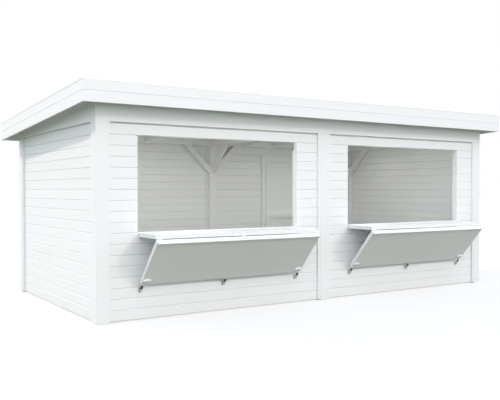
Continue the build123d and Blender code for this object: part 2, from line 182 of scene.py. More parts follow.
class NodeTree:
    """The nodes of a material or of the world."""

    def __init__(self, owner: Union[Material, World]) -> None:
        """Start with an empty node tree."""
        owner.use_nodes = True
        self.tree = owner.node_tree
        self.tree.nodes.clear()

    def feed(self, socket: NodeSocket, value: Any) -> None:
        """Link a value to an input socket, or set it there.

        Args:
            socket: The input socket.
            value: A value, another node's output, a number or a colour.
        """
        source = value.socket if isinstance(value, Value) else value
        if isinstance(source, NodeSocket):
            self.tree.links.new(source, socket)
        elif socket.type == "RGBA" and len(source) == 3:
            socket.default_value = (*source, 1.0)
        else:
            socket.default_value = source

    def node(self, kind: str, settings: Optional[dict[str, Any]] = None,
             inputs: Optional[dict[Any, Any]] = None) -> Node:
        """Add one node.

        Args:
            kind: The node's type.
            settings: Properties, which are set first.
            inputs: Values or links of its input sockets, by name or number.

        Returns:
            The new node.
        """
        made = self.tree.nodes.new(kind)
        for key, value in (settings or {}).items():
            setattr(made, key, value)
        for key, value in (inputs or {}).items():
            self.feed(made.inputs[key], value)
        return made

    def seen(self) -> Value:
        """Return 1 for what the camera sees itself, in gloss or through glass, else 0."""
        path = self.node("ShaderNodeLightPath")
        kinds = ("Is Camera Ray", "Is Glossy Ray", "Is Transmission Ray")
        camera, glossy, through = (Value(self, path.outputs[kind]) for kind in kinds)
        return camera + glossy + through

    def blend(self, first: Node, second: Node, share: Operand) -> Node:
        """Mix the shaders of two nodes.

        Args:
            first: Node whose shader shows at share 0.
            second: Node whose shader shows at share 1.
            share: How much of the second shows.

        Returns:
            The mixing node.
        """
        return self.node("ShaderNodeMixShader", {}, {0: share, 1: first.outputs[0], 2: second.outputs[0]})


class Shader(NodeTree):
    """The node tree of one material, round a principled surface."""

    def __init__(self, name: str) -> None:
        """Start a material with a principled surface that reads object coordinates."""
        self.material = bpy.data.materials.new(name)
        super().__init__(self.material)
        self.surface = self.node("ShaderNodeBsdfPrincipled")
        self.output = self.node("ShaderNodeOutputMaterial", {}, {"Surface": self.surface.outputs[0]})
        self.place = self.node("ShaderNodeTexCoord").outputs["Object"]

    def axis(self, way: Way) -> Value:
        """Return one object coordinate, in metres."""
        split = self.node("ShaderNodeSeparateXYZ", {}, {0: self.place})
        return Value(self, split.outputs[way.name])

    def stretched(self, stretch: Place) -> NodeSocket:
        """Return object coordinates, scaled on each axis."""
        return self.node("ShaderNodeMapping", {}, {"Vector": self.place, "Scale": stretch}).outputs[0]

    def noise(self, stretch: Place, scale: float, detail: float = 2.0, warp: float = 0.0) -> Value:
        """Add a noise pattern.

        Args:
            stretch: Scale of the coordinates on each axis.
            scale: Number of features in a metre.
            detail: Number of finer layers.
            warp: How far the pattern bends itself.

        Returns:
            The pattern, about 0.5 on average.
        """
        inputs = {"Vector": self.stretched(stretch), "Scale": scale, "Detail": detail, "Distortion": warp}
        return Value(self, self.node("ShaderNodeTexNoise", {}, inputs).outputs[0])

    def cells(self, stretch: Place, scale: float, output: str = "Distance") -> Value:
        """Return a cell pattern: the distance to each cell's middle, or a grey for each cell."""
        node = self.node("ShaderNodeTexVoronoi", {}, {"Vector": self.stretched(stretch), "Scale": scale})
        return Value(self, node.outputs[output])

    def lottery(self, number: Value) -> Value:
        """Return one random number from 0 to 1 for each whole number."""
        node = self.node("ShaderNodeTexWhiteNoise", {"noise_dimensions": "1D"}, {"W": number})
        return Value(self, node.outputs["Value"])

    def mix(self, first: Union[Colour, NodeSocket], second: Union[Colour, NodeSocket],
            share: Value) -> NodeSocket:
        """Mix two colours.

        Args:
            first: Colour at share 0.
            second: Colour at share 1.
            share: How much of the second shows.

        Returns:
            The mixed colour.
        """
        settings = {"data_type": "RGBA", "clamp_factor": True}
        return self.node("ShaderNodeMix", settings, {0: share, 6: first, 7: second}).outputs[2]

    def finish(self, colour: Union[Colour, NodeSocket], roughness: Operand, relief: Optional[Value] = None,
               depth: float = 0.0, **constants: float) -> Material:
        """Connect the surface.

        Args:
            colour: Base colour.
            roughness: Roughness.
            relief: Height pattern, from 0 to 1.
            depth: Height of the relief, in metres.
            constants: Other inputs of the surface that are the same all over.

        Returns:
            The material.
        """
        self.feed(self.surface.inputs["Base Color"], colour)
        self.feed(self.surface.inputs["Roughness"], roughness)
        for name, number in constants.items():
            socket = name.replace("_", " ").title().replace("Ior", "IOR")
            self.feed(self.surface.inputs[socket], number)
        if relief is not None:
            bump = self.node("ShaderNodeBump", {}, {"Height": relief, "Distance": depth, "Strength": 1.0})
            self.feed(self.surface.inputs["Normal"], bump.outputs[0])
        return self.material


def darker(colour: Colour, share: float) -> Colour:
    """Return a colour with each part cut to a share."""
    return (colour[0] * share, colour[1] * share, colour[2] * share)


class Finish(Protocol):
    """What every finish has: a name, and a recipe for its material."""

    @property
    def name(self) -> str:
        """Name of the finish and of its material."""

    def material(self) -> Material:
        """Make the material."""


@dataclass(frozen=True)
class PaintedTimber:
    """Satin white paint over planed softwood."""

    name: str
    grain: Way
    boards: Optional[Way] = None
    pitch: float = 0.115
    start: float = 0.013
    seed: float = 0.0
    colour: Colour = (0.885, 0.89, 0.897)
    knot: Colour = (0.80, 0.785, 0.74)
    splash: Colour = (0.74, 0.735, 0.71)
    tone_range: float = 0.5
    sheen: float = 0.46

    def material(self) -> Material:
        """Paint with a raised grain, a tone for each board, faint knots and splashes near the ground."""
        shader = Shader(self.name)
        along = tuple(0.055 if part else 1.0 for part in self.grain.value)
        knots_along = tuple(0.35 if part else 1.0 for part in self.grain.value)
        fibre = shader.noise(along, 300.0, 3.0, 0.3)
        figure = shader.noise(along, 34.0, 2.0, 1.2)
        cloud = shader.noise(EVEN, 1.6, 2.0)
        share = (figure - 0.5) * 0.35 + (cloud - 0.5) * 0.5 + 0.25
        if self.boards is not None:
            number = ((shader.axis(self.boards) - self.start) / self.pitch).floor() + self.seed
            share = share + (shader.lottery(number) - 0.5) * self.tone_range
        colour = shader.mix(self.colour, darker(self.colour, 0.95), share)
        spot = 1.0 - shader.cells(knots_along, 3.1).fade(0.02, 0.05)
        colour = shader.mix(colour, self.knot, spot * 0.16)
        near_ground = 1.0 - shader.axis(Way.Z).fade(0.0, 0.22)
        specks = shader.noise(EVEN, 55.0, 3.0).fade(0.42, 0.75)
        colour = shader.mix(colour, self.splash, near_ground * specks * 0.35)
        roughness = self.sheen + (fibre - 0.5) * 0.16 + near_ground * 0.08
        relief = fibre * 0.35 + figure * 0.65
        return shader.finish(colour, roughness, relief, 0.00045, ior=1.48)


@dataclass(frozen=True)
class PaintedPanel:
    """Satin white paint rolled on smooth sheet material."""

    name: str
    colour: Colour = (0.875, 0.88, 0.884)
    sheen: float = 0.40

    def material(self) -> Material:
        """Paint with the stipple of a roller and slight clouding."""
        shader = Shader(self.name)
        stipple = shader.noise(EVEN, 520.0, 2.0)
        lap = shader.noise((0.25, 1.0, 1.0), 9.0, 1.0)
        cloud = shader.noise(EVEN, 2.2, 2.0)
        share = (cloud - 0.5) * 0.6 + (lap - 0.5) * 0.3 + 0.25
        colour = shader.mix(self.colour, darker(self.colour, 0.955), share)
        roughness = self.sheen + (stipple - 0.5) * 0.14 + (lap - 0.5) * 0.08
        return shader.finish(colour, roughness, stipple, 0.00012, ior=1.48)


@dataclass(frozen=True)
class CoatedMetal:
    """Powder-coated steel, such as the handles and door straps."""

    name: str
    colour: Colour = (0.86, 0.87, 0.875)
    worn: Colour = (0.55, 0.55, 0.54)
    sheen: float = 0.30

    def material(self) -> Material:
        """Coating with a fine orange peel and a few rubbed spots."""
        shader = Shader(self.name)
        peel = shader.noise(EVEN, 420.0, 1.0)
        rubbed = shader.noise(EVEN, 38.0, 4.0).fade(0.70, 0.78)
        colour = shader.mix(self.colour, self.worn, rubbed * 0.5)
        roughness = self.sheen + rubbed * 0.2 + (peel - 0.5) * 0.05
        return shader.finish(colour, roughness, peel, 0.0001, coat_weight=0.15)


@dataclass(frozen=True)
class ZincMetal:
    """Galvanised steel of the catches."""

    name: str
    colour: Colour = (0.56, 0.565, 0.555)
    dull: Colour = (0.40, 0.405, 0.39)
    sheen: float = 0.38

    def material(self) -> Material:
        """Zinc with a soft spangle and a dull bloom."""
        shader = Shader(self.name)
        spangle = shader.cells(EVEN, 260.0, "Color")
        bloom = shader.noise(EVEN, 70.0, 3.0).fade(0.4, 0.7)
        colour = shader.mix(self.colour, self.dull, spangle * 0.35 + bloom * 0.5)
        roughness = self.sheen + spangle * 0.12 + bloom * 0.14
        return shader.finish(colour, roughness, bloom, 0.00006, metallic=0.85)


@dataclass(frozen=True)
class BrushedMetal:
    """Satin metal of the roof's edge trim and the door handles."""

    name: str
    grain: Way = Way.X
    colour: Colour = (0.86, 0.87, 0.88)
    dull: Colour = (0.72, 0.73, 0.74)
    sheen: float = 0.34
    metal: float = 0.6

    def material(self) -> Material:
        """Brushed lines and a faint bloom from the weather."""
        shader = Shader(self.name)
        along = tuple(0.02 if part else 1.0 for part in self.grain.value)
        lines = shader.noise(along, 900.0, 2.0)
        bloom = shader.noise(EVEN, 11.0, 3.0).fade(0.45, 0.75)
        colour = shader.mix(self.colour, self.dull, lines * 0.25 + bloom * 0.3)
        roughness = self.sheen + (lines - 0.5) * 0.1 + bloom * 0.12
        return shader.finish(colour, roughness, lines, 0.00004, metallic=self.metal)


@dataclass(frozen=True)
class RoofRubber:
    """Dark rubber, of the roof's sheet and the catches' pads."""

    name: str
    colour: Colour = (0.075, 0.078, 0.082)
    dust: Colour = (0.20, 0.197, 0.185)
    sheen: float = 0.62

    def material(self) -> Material:
        """Rubber with a fine grain, dust that rain has drawn into runs, and dried puddle rims."""
        shader = Shader(self.name)
        grain = shader.noise(EVEN, 650.0, 2.0)
        runs = shader.noise((1.0, 0.10, 1.0), 7.0, 4.0, 0.5).fade(0.42, 0.72)
        patches = shader.noise(EVEN, 1.1, 3.0).fade(0.40, 0.68)
        colour = shader.mix(self.colour, self.dust, runs * 0.35 + patches * 0.35)
        rim = shader.noise(EVEN, 2.3, 3.0)
        edge = rim.fade(0.58, 0.60) * (1.0 - rim.fade(0.60, 0.66))
        colour = shader.mix(colour, self.dust, edge * patches * 0.22)
        roughness = self.sheen + (grain - 0.5) * 0.2 + runs * 0.08
        return shader.finish(colour, roughness, grain, 0.0003)


UPRIGHT_PAINT = PaintedTimber("upright_paint", Way.Z)
LONG_FASCIA_PAINT = PaintedTimber("long_fascia_paint", Way.X)
PANEL_PAINT = PaintedPanel("panel_paint")
# Grey paint on the counters' edge screws is painted shade: it stands in for the soft shadows round
# white-painted screw heads.
SCREW_SHADE_PAINT = PaintedPanel("worn_paint", (0.66, 0.67, 0.68))
WHITE_COAT = CoatedMetal("coated_metal")
ZINC = ZincMetal("zinc")
HANDLE_STEEL = BrushedMetal("handle_steel", Way.X, (0.60, 0.60, 0.59), (0.46, 0.46, 0.45), 0.30, 0.9)
ROOF_SHEET = RoofRubber("roof_rubber")
PAD_RUBBER = RoofRubber("pad_rubber", (0.040, 0.047, 0.030), (0.085, 0.09, 0.065))


class Wardrobe:
    """Makes each finish's material once, and dresses the CAD nodes that stay in sight."""

    def __init__(self) -> None:
        """Start with no materials made."""
        self.made: dict[str, Material] = {}

    def take(self, finish: Finish) -> Material:
        """Return a finish's material, made at its first use."""
        if finish.name not in self.made:
            self.made[finish.name] = finish.material()
        return self.made[finish.name]

    def finish_of(self, node: str) -> Finish:
        """Choose the finish of a CAD node.

        Args:
            node: Name of the node.

        Returns:
            Its finish.
        """
        if node.startswith("post") or node in ("corner_battens", "door_frame"):
            return UPRIGHT_PAINT
        if node in ("front_beam", "back_beam"):
            return PaintedTimber("long_beam_paint", Way.X)
        if node.endswith("braces"):
            return PaintedTimber("brace_paint", Way.Z)
        if node in ("left_beam", "right_beam", "cross_beam", "rafters"):
            return PaintedTimber("cross_beam_paint", Way.Y)
        if node.endswith("opening_frame"):
            return PaintedTimber("lining_paint", Way.X)
        if node in ("front_fascia", "back_fascia", "roof_kerb"):
            return LONG_FASCIA_PAINT
        if node.endswith("fascia"):
            return PaintedTimber("side_fascia_paint", Way.Y)
        if node.endswith("counter") or node.endswith("flap"):
            return PANEL_PAINT
        if node == "roof_covering":
            return ROOF_SHEET
        if node == "roof_edge_trim":
            return BrushedMetal("edge_aluminium")
        return WHITE_COAT

    def dress_nodes(self) -> None:
        """Give every CAD node that is still shown its material."""
        for name, node in frame["nodes"].items():
            if node.hide_render:
                continue
            material = self.take(self.finish_of(name))
            for slot in node.material_slots:
                slot.material = material
            log.info("node %s wears %s", name, material.name)


wardrobe = Wardrobe()


def anything(item: Any) -> bool:
    """Accept every edge or face."""
    return True


class Bench:
    """Models meshes with Blender's own operators, one object at a time."""

    def clear(self) -> None:
        """Leave edit mode and deselect everything."""
        active = bpy.context.view_layer.objects.active
        if active is not None and active.mode != "OBJECT":
            bpy.ops.object.mode_set(mode="OBJECT")
        bpy.ops.object.select_all(action="DESELECT")

    def pick(self, *objects: Object) -> None:
        """Select these objects alone, the first of them active."""
        self.clear()
        for obj in objects:
            obj.select_set(True)
        bpy.context.view_layer.objects.active = objects[0]

    def settle(self, obj: Object) -> Object:
        """Put an object's place, turn and size into its mesh, and return it."""
        self.pick(obj)
        bpy.ops.object.transform_apply(location=True, rotation=True, scale=True)
        return obj

    def block(self, name: str, low: Iterable[float], high: Iterable[float]) -> Object:
        """Add a cube between two corners.

        Args:
            name: Name of the object.
            low: Lowest corner.
            high: Highest corner.

        Returns:
            The object, with its place in its mesh.
        """
        low, high = Vector(low), Vector(high)
        self.clear()
        bpy.ops.mesh.primitive_cube_add(size=1.0, location=(low + high) / 2, scale=high - low)
        bpy.context.object.name = name
        return self.settle(bpy.context.object)

    def rod(self, name: str, start: Place, end: Place, radius: float, sides: int = 16) -> Object:
        """Add a cylinder between two points.

        Args:
            name: Name of the object.
            start: Middle of one end.
            end: Middle of the other end.
            radius: Radius of the rod.
            sides: Number of flat sides.

        Returns:
            The object, with its place in its mesh.
        """
        start, end = Vector(start), Vector(end)
        turn = (end - start).to_track_quat("Z", "Y").to_euler()
        self.clear()
        bpy.ops.mesh.primitive_cylinder_add(vertices=sides, radius=radius, depth=(end - start).length,
                                            location=(start + end) / 2, rotation=turn)
        bpy.context.object.name = name
        return self.settle(bpy.context.object)

    def select(self, obj: Object, kind: Element, test: Test) -> None:
        """Enter edit mode with only some edges or faces selected.

        Args:
            obj: Object to edit.
            kind: Whether edges or faces are selected.
            test: Says of one edge or face whether it is selected.
        """
        self.pick(obj)
        bpy.ops.object.mode_set(mode="EDIT")
        bpy.ops.mesh.select_mode(type=kind.value)
        bpy.ops.mesh.select_all(action="DESELECT")
        mesh = bmesh.from_edit_mesh(obj.data)
        for item in mesh.edges if kind is Element.EDGE else mesh.faces:
            if test(item):
                item.select_set(True)
        bmesh.update_edit_mesh(obj.data)

    def bevel(self, obj: Object, width: float, segments: int = 1, test: Test = anything) -> Object:
        """Bevel the edges that a test accepts.

        Args:
            obj: Object to edit.
            width: Width of the bevel.
            segments: Number of faces across it.
            test: Says of an edge whether it is bevelled.

        Returns:
            The object.
        """
        self.select(obj, Element.EDGE, test)
        bpy.ops.mesh.bevel(offset=width, segments=segments, affect="EDGES", clamp_overlap=True)
        self.clear()
        return obj

    def step(self, obj: Object, test: Test, inset: float, move: Vector) -> Object:
        """Inset the faces that a test accepts, and push them out or in.

        Args:
            obj: Object to edit.
            test: Says of a face whether it is taken.
            inset: Width of the border left round it.
            move: How far the inner face moves.

        Returns:
            The object.
        """
        self.select(obj, Element.FACE, test)
        bpy.ops.mesh.inset(thickness=inset, depth=0.0, use_even_offset=True)
        bpy.ops.mesh.extrude_region_move(TRANSFORM_OT_translate={"value": tuple(move)})
        self.clear()
        return obj

    def repeat(self, obj: Object, count: int, step: Vector) -> Object:
        """Copy an object in a row with an Array modifier that is applied.

        Args:
            obj: Object to repeat.
            count: Number of copies, the first included.
            step: Distance from one copy to the next.

        Returns:
            The object.
        """
        self.pick(obj)
        row = obj.modifiers.new("row", "ARRAY")
        row.use_relative_offset = False
        row.use_constant_offset = True
        row.constant_offset_displace = step
        row.count = count
        bpy.ops.object.modifier_apply(modifier=row.name)
        return obj

    def copies(self, template: Object, places: Iterable[Matrix]) -> list[Object]:
        """Copy an object to each place, each copy with its own mesh, and remove the first.

        Args:
            template: Object modelled round the origin.
            places: Where each copy goes.

        Returns:
            The copies.
        """
        made = []
        for place in places:
            copy = template.copy()
            copy.data = template.data.copy()
            copy.data.transform(place)
            bpy.context.scene.collection.objects.link(copy)
            made.append(copy)
        bpy.data.objects.remove(template)
        return made

    def join(self, name: str, objects: list[Object]) -> Object:
        """Join objects into one.

        Args:
            name: Name of the joined piece.
            objects: Objects to join.

        Returns:
            The piece.
        """
        self.pick(*objects)
        if len(objects) > 1:
            bpy.ops.object.join()
        whole = bpy.context.view_layer.objects.active
        whole.name = name
        whole.data.name = name
        return whole

    def smooth(self, obj: Object, angle: float = 40.0) -> Object:
        """Shade an object smooth where its faces meet at less than an angle, in degrees."""
        self.pick(obj)
        bpy.ops.object.shade_smooth_by_angle(angle=radians(angle))
        return obj

    def rotate(self, obj: Object, angle: float, way: Way, centre: Place) -> Object:
        """Turn a whole mesh.

        Args:
            obj: Object to turn.
            angle: Angle, in degrees, by the right-hand rule.
            way: Axis that it turns about.
            centre: Point that stays where it is.

        Returns:
            The object.
        """
        self.select(obj, Element.FACE, anything)
        bpy.ops.transform.rotate(value=-radians(angle), orient_axis=way.name, orient_type="GLOBAL",
                                 center_override=centre)
        self.clear()
        return obj


bench = Bench()


def lies_along(way: Way) -> Test:
    """Return a test of whether an edge runs along an axis."""
    def test(edge: Any) -> bool:
        """Say whether the edge runs along the axis."""
        span = edge.verts[1].co - edge.verts[0].co
        return abs(span.dot(way.vector)) > SAME_WAY * span.length
    return test


def lies_across(way: Way) -> Test:
    """Return a test of whether an edge doesn't run along an axis, as at the ends of a rod."""
    runs = lies_along(way)
    return lambda edge: not runs(edge)


def lies_at(way: Way, level: float) -> Test:
    """Return a test of whether an edge lies at one place on an axis, as round a face."""
    return lambda edge: all(abs(v.co.dot(way.vector) - level) < NEAR for v in edge.verts)


def faces_to(normal: Iterable[float]) -> Test:
    """Return a test of whether a face looks in a direction."""
    wanted = Vector(normal).normalized()
    return lambda face: face.normal.dot(wanted) > SAME_WAY


def facing(point: Iterable[float], normal: Iterable[float]) -> Matrix:
    """Return the place of a piece that stands on a surface.

    Args:
        point: Point on the surface.
        normal: Direction away from the surface, which the piece's Z takes.

    Returns:
        The place as a matrix.
    """
    return Matrix.Translation(Vector(point)) @ Vector(normal).to_track_quat("Z", "Y").to_matrix().to_4x4()


def axes(x: Vector, y: Vector, z: Vector, origin: Iterable[float]) -> Matrix:
    """Return the place of a piece that has its own axes and origin."""
    place = Matrix.Identity(4)
    for column, axis in enumerate((x, y, z, Vector(origin))):
        place.col[column][:3] = axis
    return place


def spaced(start: float, end: float, gap: float) -> Iterator[float]:
    """Yield evenly spaced numbers from start to end, about a gap apart."""
    count = max(1, round((end - start) / gap))
    for number in range(count + 1):
        yield start + (end - start) * number / count


def dress(piece: Object, body: str, finish: Finish, slot: str, *nodes: str) -> None:
    """Give a piece its material, and say what it rides on and stands for.

    Args:
        piece: The finished piece.
        body: CAD body that it moves with.
        finish: Its finish.
        slot: Not used; the material slot of the record that it takes its finish from.
        nodes: CAD nodes that it stands for.
    """
    piece.data.materials.clear()
    piece.data.materials.append(wardrobe.take(finish))
    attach(piece, body)
    if nodes:
        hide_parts(*nodes)
    log.info("piece %s on %s, %d faces", piece.name, body, len(piece.data.polygons))


@dataclass(frozen=True)
class TongueBoard:
    """One planed board with a tongue, a groove and eased long edges."""

    ease: float = 0.0045
    tongue: float = 0.008
    cheek: float = 0.006
    gap: float = 0.0018
    play: float = 0.0005

    def make(self, low: Iterable[float], high: Iterable[float], along: Way, across: Way) -> Object:
        """Model the board.

        Args:
            low: Lowest corner of the board.
            high: Highest corner of the board, its tongue left out.
            along: Direction of its length.
            across: Direction of its tongue.

        Returns:
            The board.
        """
        up = across.vector
        board = bench.block("board", low, Vector(high) - up * self.gap)
        bench.bevel(board, self.ease, 1, lies_along(along))
        bench.step(board, faces_to(up), self.cheek, up * self.tongue)
        groove = up * (self.tongue - self.gap + self.play)
        return bench.step(board, faces_to(-up), self.cheek - self.play, groove)


THIN_BOARD = TongueBoard(ease=0.003, cheek=0.004)


@dataclass(frozen=True)
class Opening:
    """Opening in a wall: its distance from each end, its first course and how many it takes."""

    margin: float = 0.355
    first: int = 8
    courses: int = 9


@dataclass(frozen=True)
class Cladding:
    """A wall of level boards that stands for one CAD slab."""

    node: str
    along: Way
    seed: float
    opening: Optional[Opening] = None
    course: float = 0.115
    ground_gap: float = 0.013
    head_gap: float = 0.012
    strip_setback: float = 0.009
    strip_ease: float = 0.001
    board: TongueBoard = TongueBoard()

    def stack(self, low: Vector, high: Vector, first: int, count: int) -> Object:
        """Model some courses between two ends.

        Args:
            low: Lowest corner of the wall piece.
            high: Highest corner of the wall piece.
            first: Number of the lowest course.
            count: Number of courses.

        Returns:
            The boards as one object.
        """
        bottom = self.ground_gap + first * self.course
        start, end = (low.x, low.y, bottom), (high.x, high.y, bottom + self.course)
        board = self.board.make(start, end, self.along, Way.Z)
        return bench.repeat(board, count, Way.Z.vector * self.course)

    def boards(self, low: Vector, high: Vector, top: float) -> list[Object]:
        """Model the wall's boards, round its opening if it has one.

        Args:
            low: Lowest corner of the wall.
            high: Highest corner of the wall.
            top: Level at which the boards end.

        Returns:
            The stacks of boards.
        """
        first, last = (round((level - self.ground_gap) / self.course) for level in (low.z, top))
        if self.opening is None and first > 0:
            return [self.board.make(low, (high.x, high.y, top), self.along, Way.Z)]
        if self.opening is None:
            return [self.stack(low, high, first, last - first)]
        gap = self.opening
        over = gap.first + gap.courses
        left_end = Vector((low.x + gap.margin, high.y, high.z))
        right_end = Vector((high.x - gap.margin, low.y, low.z))
        return [self.stack(low, high, 0, gap.first),
                self.stack(low, left_end, gap.first, gap.courses),
                self.stack(right_end, high, gap.first, gap.courses),
                self.stack(low, high, over, last - over)]

    def build(self) -> None:
        """Model and dress the wall, with the strip that closes it under the beam."""
        low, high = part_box(self.node)
        top = high.z - self.head_gap
        pieces = self.boards(low, high, top)
        across = Way.Y if self.along is Way.X else Way.X
        back = across.vector * self.strip_setback
        strip = bench.block("strip", Vector((low.x, low.y, top)) + back, high - back)
        pieces.append(bench.bevel(strip, self.strip_ease, 1, lies_along(self.along)))
        finish = PaintedTimber(self.node + "_paint", self.along, Way.Z, self.course, self.ground_gap,
                               self.seed)
        dress(bench.join(self.node + "_boards", pieces), "building", finish, "painted_board", self.node)


@dataclass(frozen=True)
class CeilingBoards:
    """The roof deck as boards that run along the front."""

    count: int = 28
    thickness: float = 0.018
    seed: float = 90.0
    colour: Colour = (0.84, 0.85, 0.85)
    board: TongueBoard = THIN_BOARD

    def build(self) -> None:
        """Model and dress the deck, laid to the roof's fall."""
        low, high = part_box("roof_deck")
        fall = (high.z - low.z - self.thickness) / (high.y - low.y)
        pitch = (high.y - low.y) / self.count
        start, end = (low.x, low.y, high.z - self.thickness), (high.x, low.y + pitch, high.z)
        plank = self.board.make(start, end, Way.X, Way.Y)
        bench.rotate(plank, -degrees(atan(fall)), Way.X, (0.0, low.y, high.z))
        deck = bench.repeat(plank, self.count, Vector((0.0, pitch, -pitch * fall)))
        finish = PaintedTimber("deck_paint", Way.X, Way.Y, pitch, low.y, self.seed, self.colour)
        dress(bench.join("roof_deck_boards", [deck]), "building", finish, "deck_wood", "roof_deck")


@dataclass(frozen=True)
class Screw:
    """Countersunk screw head with a recess for the driver."""

    radius: float = 0.0045
    proud: float = 0.0006
    sunk: float = 0.0010
    rim: float = 0.0005
    recess: float = 0.0024
    recess_depth: float = 0.0009
    sides: int = 12

    def template(self) -> Object:
        """Model one head round the origin, its top towards +Z."""
        head = bench.rod("screw", (0, 0, -self.sunk), (0, 0, self.proud), self.radius, self.sides)
        bench.bevel(head, self.rim, 1, lies_at(Way.Z, self.proud))
        return bench.step(head, faces_to(Way.Z.vector), self.recess, Vector((0, 0, -self.recess_depth)))

    def row(self, name: str, body: str, places: Iterable[Matrix], finish: Finish, slot: str) -> None:
        """Set a screw at each place, all of them as one piece.

        Args:
            name: Name of the piece.
            body: CAD body that the screws move with.
            places: Where each head sits.
            finish: Their finish.
            slot: Material slot of the record.
        """
        dress(bench.join(name, bench.copies(self.template(), places)), body, finish, slot)


SMALL_SCREW = Screw(radius=0.0035)
FLUSH_SCREW = Screw(radius=0.0035, proud=0.0003)


@dataclass(frozen=True)
class Hatch:
    """One serving hatch: screws on its panels and cup handles on the flap."""

    side: Side
    slope: float = 49.0
    thickness: float = 0.045
    cup_half: float = 0.046
    cup_depth: float = 0.025
    cup_rise: float = 0.017
    cup_wall: float = 0.003
    cup_edge: float = 0.005
    cup_sides: int = 48
    foot_inset: float = 0.010
    foot_half: float = 0.007
    foot_depth: float = 0.002
    foot_rise: float = 0.004
    foot_ease: float = 0.001
    screw_margin: float = 0.035
    screw_gap: float = 0.30
    front_row: float = 0.030
    back_row: float = 0.075
    flap_rows: tuple[float, float] = (0.055, 0.60)
    flap_margin: float = 0.030
    edge_gap: float = 0.095
    edge_drop: float = 0.013
    edge_ease: float = 0.030

    def flap_place(self) -> Matrix:
        """Return the open flap's own axes: X along it, Y down its slope, Z out of its back."""
        joint = next(j for j in frame["joints"] if j["name"] == f"{self.side.value}_flap_hinge")
        slope = radians(self.slope)
        down = Vector((0.0, cos(slope), -sin(slope)))
        return axes(Way.X.vector, down, Way.X.vector.cross(down), joint["pos_m"])

    def cup(self) -> Object:
        """Model one cup handle round the origin: mouth towards +Y, back plate towards +Z.

        Returns:
            The handle with its two feet.
        """
        def on_curve(edge: Any) -> bool:
            """Say whether an edge is on the curved part of the cup's upper rim."""
            return lies_at(Way.Z, self.cup_rise)(edge) and all(
                v.co.y < -NEAR or abs(abs(v.co.x) - self.cup_half) < NEAR for v in edge.verts)
        shell = bench.rod("cup", (0, 0, 0), (0, 0, self.cup_rise), self.cup_half, self.cup_sides)
        bench.select(shell, Element.FACE, anything)
        bpy.ops.mesh.bisect(plane_co=(0, 0, 0), plane_no=(0, 1, 0), use_fill=True, clear_outer=True)
        bpy.ops.mesh.select_all(action="SELECT")
        bpy.ops.transform.resize(value=(1.0, self.cup_depth / self.cup_half, 1.0))
        bench.clear()
        bench.bevel(shell, self.cup_edge, 4, on_curve)
        hollow = Vector((0, self.cup_wall - self.cup_rise, 0))
        bench.step(shell, faces_to(Way.Y.vector), self.cup_wall, hollow)
        feet = []
        for x in (self.foot_inset - self.cup_half, self.cup_half - self.foot_inset):
            low = (x - self.foot_half, -self.foot_depth, 0.0)
            high = (x + self.foot_half, 0.0, self.foot_rise)
            feet.append(bench.bevel(bench.block("foot", low, high), self.foot_ease))
        return bench.join("cup", [shell, *feet])

    def build(self) -> None:
        """Model and dress the hatch's fittings."""
        side, place = self.side.value, self.flap_place()
        low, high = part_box(f"{side}_flap_handles")
        middle = place.inverted() @ ((low + high) / 2)
        mouth = middle.y + self.cup_depth / 2
        reach = (high.x - low.x) / 2 - self.cup_half
        turn = Matrix.Rotation(radians(180), 4, "Y")
        spots = [place @ Matrix.Translation((middle.x + step, mouth, -self.thickness)) @ turn
                 for step in (-reach, reach)]
        cups = bench.smooth(bench.join(f"{side}_cup_handles", bench.copies(self.cup(), spots)))
        dress(cups, f"{side}_flap", WHITE_COAT, "white_metal", f"{side}_flap_handles")

        counter = f"{side}_counter"
        low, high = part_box(counter)
        start, end = low.x + self.screw_margin, high.x - self.screw_margin
        front = self.counter_front(counter)
        edge = [facing((x, front, high.z - self.edge_drop), -Way.Y.vector)
                for x in spaced(start, end, self.edge_gap)]
        top = [facing((x, y, high.z), Way.Z.vector) for y in (front + self.front_row, high.y - self.back_row)
               for x in spaced(start, end, self.screw_gap)]
        half = (high.x - low.x) / 2 - self.flap_margin
        back = [place @ facing((x, y, 0.0), Way.Z.vector) for y in self.flap_rows
                for x in spaced(-half, half, self.screw_gap)]
        # The edge screws take the grey screw paint, painted shade round their heads.
        for name, body, places, finish in (("edge", counter, edge, SCREW_SHADE_PAINT),
                                           ("counter", counter, top, PANEL_PAINT),
                                           ("flap", f"{side}_flap", back, PANEL_PAINT)):
            Screw().row(f"{side}_{name}_screws", body, places, finish, "painted_panel")

    def counter_front(self, counter: str) -> float:
        """Return the Y of the counter's outer edge, below its top face."""
        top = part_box(counter)[1].z
        points = [v.co for v in frame["nodes"][counter].data.vertices]
        return min(point.y for point in points if point.z > top - self.edge_ease)


